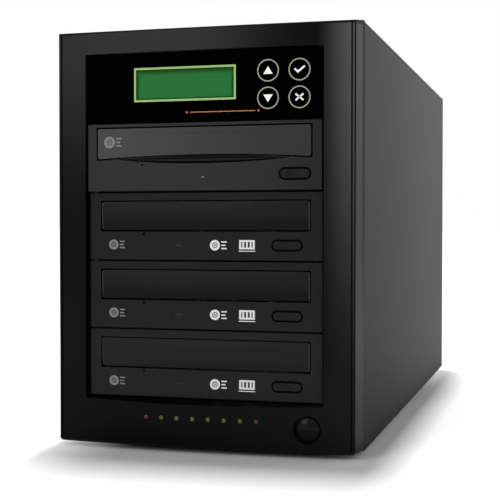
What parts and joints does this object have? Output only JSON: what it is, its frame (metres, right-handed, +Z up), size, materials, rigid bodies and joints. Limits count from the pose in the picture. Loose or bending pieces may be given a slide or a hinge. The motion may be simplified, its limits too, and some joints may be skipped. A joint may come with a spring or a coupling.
{
  "type": "disc duplicator tower",
  "caption": "Free-standing disc duplicator tower: steel case, bowed plastic front, control panel with display and keys, and optical drives whose geared trays slide out.",
  "frame": {"origin": "under the middle of the whole object's bounding box, on the surface that the feet stand on", "axes": "+Z up, the front faces -Y, +X to the right of someone who looks at the front"},
  "size_m": [0.194, 0.4582, 0.2604],
  "materials": {
    "foot_rubber": "matt moulded rubber",
    "zinc_steel": "zinc-plated sheet, satin",
    "drive_steel": "zinc-plated sheet, satin",
    "cover_paint": "grey-black powder coat, satin",
    "screw_steel": "bright plated steel",
    "bezel_plastic": "black moulded plastic, fine texture",
    "panel_gloss": "polished black",
    "board_green": "green lacquered board",
    "led_red": "tinted clear lens",
    "led_green": "tinted clear lens",
    "switch_plastic": "black moulded plastic",
    "lcd_glass": "green display glass",
    "loader_plastic": "black moulded plastic",
    "deck_steel": "pressed steel",
    "fan_plastic": "black moulded plastic",
    "pin_brass": "plated contact pins",
    "key_gloss": "polished black",
    "reader_plastic": "black moulded plastic, satin",
    "writer_plastic": "black moulded plastic, fine texture",
    "tray_plastic": "black moulded plastic",
    "gear_plastic": "natural acetal",
    "turntable_plastic": "black moulded plastic",
    "sled_aluminium": "die-cast"
  },
  "bodies": {
    "chassis": {"feet": "foot_rubber", "chassis_base": "zinc_steel", "front_plate": "zinc_steel", "drive_cage": "zinc_steel", "rear_panel": "zinc_steel", "psu_case": "zinc_steel", "drive_cases": "drive_steel", "cover": "cover_paint", "thumb_screws": "screw_steel", "case_screws": "screw_steel", "front_bezel": "bezel_plastic", "control_panel": "panel_gloss", "led_board": "board_green", "panel_board": "board_green", "controller_board": "board_green", "status_leds_red": "led_red", "status_leds_green": "led_green", "power_switch": "switch_plastic", "mains_entry": "switch_plastic", "lcd_module": "lcd_glass", "loader_frames": "loader_plastic", "optical_decks": "deck_steel", "fan_frames": "fan_plastic", "inlet_pins": "pin_brass", "reader_bezel": "reader_plastic", "writer_1_bezel": "writer_plastic", "writer_2_bezel": "writer_plastic", "writer_3_bezel": "writer_plastic"},
    "reader_tray": {"reader_tray": "tray_plastic", "reader_tray_door": "reader_plastic"},
    "reader_pinion": {"reader_tray_pinion": "gear_plastic"},
    "reader_turntable": {"reader_turntable": "turntable_plastic"},
    "reader_laser_sled": {"reader_laser_sled": "sled_aluminium"},
    "reader_eject_button": {"reader_eject_button": "reader_plastic"},
    "writer_1_tray": {"writer_1_tray": "tray_plastic", "writer_1_tray_door": "writer_plastic"},
    "writer_1_pinion": {"writer_1_tray_pinion": "gear_plastic"},
    "writer_1_turntable": {"writer_1_turntable": "turntable_plastic"},
    "writer_1_laser_sled": {"writer_1_laser_sled": "sled_aluminium"},
    "writer_1_eject_button": {"writer_1_eject_button": "writer_plastic"},
    "writer_2_tray": {"writer_2_tray": "tray_plastic", "writer_2_tray_door": "writer_plastic"},
    "writer_2_pinion": {"writer_2_tray_pinion": "gear_plastic"},
    "writer_2_turntable": {"writer_2_turntable": "turntable_plastic"},
    "writer_2_laser_sled": {"writer_2_laser_sled": "sled_aluminium"},
    "writer_2_eject_button": {"writer_2_eject_button": "writer_plastic"},
    "writer_3_tray": {"writer_3_tray": "tray_plastic", "writer_3_tray_door": "writer_plastic"},
    "writer_3_pinion": {"writer_3_tray_pinion": "gear_plastic"},
    "writer_3_turntable": {"writer_3_turntable": "turntable_plastic"},
    "writer_3_laser_sled": {"writer_3_laser_sled": "sled_aluminium"},
    "writer_3_eject_button": {"writer_3_eject_button": "writer_plastic"},
    "key_up": {"key_up": "key_gloss"},
    "key_down": {"key_down": "key_gloss"},
    "key_confirm": {"key_confirm": "key_gloss"},
    "key_cancel": {"key_cancel": "key_gloss"},
    "power_button": {"power_button": "bezel_plastic"},
    "exhaust_fan_rotor": {"exhaust_fan_rotor": "fan_plastic"},
    "psu_fan_rotor": {"psu_fan_rotor": "fan_plastic"},
    "rocker_switch": {"rocker_switch": "switch_plastic"}
  },
  "joints": [
    {"name": "reader_tray_slide", "type": "slide", "parent": "chassis", "child": "reader_tray", "axis": [0, -1, 0], "range_m": [0, 0.132]},
    {"name": "reader_pinion_spin", "type": "hinge", "parent": "chassis", "child": "reader_pinion", "pos_m": [-0.0426, -0.19385, 0.18325], "axis": [0, 0, 1], "range_deg": [0, 640]},
    {"name": "reader_turntable_spin", "type": "hinge", "parent": "chassis", "child": "reader_turntable", "pos_m": [0, -0.15385, 0.17745], "axis": [0, 0, 1], "continuous": true},
    {"name": "reader_laser_sled_slide", "type": "slide", "parent": "chassis", "child": "reader_laser_sled", "axis": [0, 1, 0], "range_m": [0, 0.03]},
    {"name": "reader_eject_press", "type": "slide", "parent": "chassis", "child": "reader_eject_button", "axis": [0, 1, 0], "range_m": [0, 0.0008], "stiffness_N_per_m": 600},
    {"name": "writer_1_tray_slide", "type": "slide", "parent": "chassis", "child": "writer_1_tray", "axis": [0, -1, 0], "range_m": [0, 0.132]},
    {"name": "writer_1_pinion_spin", "type": "hinge", "parent": "chassis", "child": "writer_1_pinion", "pos_m": [-0.0426, -0.19385, 0.14095], "axis": [0, 0, 1], "range_deg": [0, 640]},
    {"name": "writer_1_turntable_spin", "type": "hinge", "parent": "chassis", "child": "writer_1_turntable", "pos_m": [0, -0.15385, 0.13515], "axis": [0, 0, 1], "continuous": true},
    {"name": "writer_1_laser_sled_slide", "type": "slide", "parent": "chassis", "child": "writer_1_laser_sled", "axis": [0, 1, 0], "range_m": [0, 0.03]},
    {"name": "writer_1_eject_press", "type": "slide", "parent": "chassis", "child": "writer_1_eject_button", "axis": [0, 1, 0], "range_m": [0, 0.0008], "stiffness_N_per_m": 600},
    {"name": "writer_2_tray_slide", "type": "slide", "parent": "chassis", "child": "writer_2_tray", "axis": [0, -1, 0], "range_m": [0, 0.132]},
    {"name": "writer_2_pinion_spin", "type": "hinge", "parent": "chassis", "child": "writer_2_pinion", "pos_m": [-0.0426, -0.19385, 0.09865], "axis": [0, 0, 1], "range_deg": [0, 640]},
    {"name": "writer_2_turntable_spin", "type": "hinge", "parent": "chassis", "child": "writer_2_turntable", "pos_m": [0, -0.15385, 0.09285], "axis": [0, 0, 1], "continuous": true},
    {"name": "writer_2_laser_sled_slide", "type": "slide", "parent": "chassis", "child": "writer_2_laser_sled", "axis": [0, 1, 0], "range_m": [0, 0.03]},
    {"name": "writer_2_eject_press", "type": "slide", "parent": "chassis", "child": "writer_2_eject_button", "axis": [0, 1, 0], "range_m": [0, 0.0008], "stiffness_N_per_m": 600},
    {"name": "writer_3_tray_slide", "type": "slide", "parent": "chassis", "child": "writer_3_tray", "axis": [0, -1, 0], "range_m": [0, 0.132]},
    {"name": "writer_3_pinion_spin", "type": "hinge", "parent": "chassis", "child": "writer_3_pinion", "pos_m": [-0.0426, -0.19385, 0.05635], "axis": [0, 0, 1], "range_deg": [0, 640]},
    {"name": "writer_3_turntable_spin", "type": "hinge", "parent": "chassis", "child": "writer_3_turntable", "pos_m": [0, -0.15385, 0.05055], "axis": [0, 0, 1], "continuous": true},
    {"name": "writer_3_laser_sled_slide", "type": "slide", "parent": "chassis", "child": "writer_3_laser_sled", "axis": [0, 1, 0], "range_m": [0, 0.03]},
    {"name": "writer_3_eject_press", "type": "slide", "parent": "chassis", "child": "writer_3_eject_button", "axis": [0, 1, 0], "range_m": [0, 0.0008], "stiffness_N_per_m": 600},
    {"name": "key_up_press", "type": "slide", "parent": "chassis", "child": "key_up", "axis": [0, 1, 0], "range_m": [0, 0.0006], "stiffness_N_per_m": 600},
    {"name": "key_down_press", "type": "slide", "parent": "chassis", "child": "key_down", "axis": [0, 1, 0], "range_m": [0, 0.0006], "stiffness_N_per_m": 600},
    {"name": "key_confirm_press", "type": "slide", "parent": "chassis", "child": "key_confirm", "axis": [0, 1, 0], "range_m": [0, 0.0006], "stiffness_N_per_m": 600},
    {"name": "key_cancel_press", "type": "slide", "parent": "chassis", "child": "key_cancel", "axis": [0, 1, 0], "range_m": [0, 0.0006], "stiffness_N_per_m": 600},
    {"name": "power_button_press", "type": "slide", "parent": "chassis", "child": "power_button", "axis": [0, 1, 0], "range_m": [0, 0.002], "stiffness_N_per_m": 500},
    {"name": "exhaust_fan_spin", "type": "hinge", "parent": "chassis", "child": "exhaust_fan_rotor", "pos_m": [0, 0.20965, 0.172], "axis": [0, 1, 0], "continuous": true},
    {"name": "psu_fan_spin", "type": "hinge", "parent": "chassis", "child": "psu_fan_rotor", "pos_m": [-0.026, 0.20865, 0.048], "axis": [0, 1, 0], "continuous": true},
    {"name": "rocker_tilt", "type": "hinge", "parent": "chassis", "child": "rocker_switch", "pos_m": [0.046, 0.22035, 0.065], "axis": [1, 0, 0], "range_deg": [0, 16]}
  ],
  "couplings": [
    {"joint": "reader_pinion_spin", "follows": "reader_tray_slide", "rad_per_m": 83.333},
    {"joint": "writer_1_pinion_spin", "follows": "writer_1_tray_slide", "rad_per_m": 83.333},
    {"joint": "writer_2_pinion_spin", "follows": "writer_2_tray_slide", "rad_per_m": 83.333},
    {"joint": "writer_3_pinion_spin", "follows": "writer_3_tray_slide", "rad_per_m": 83.333}
  ]
}
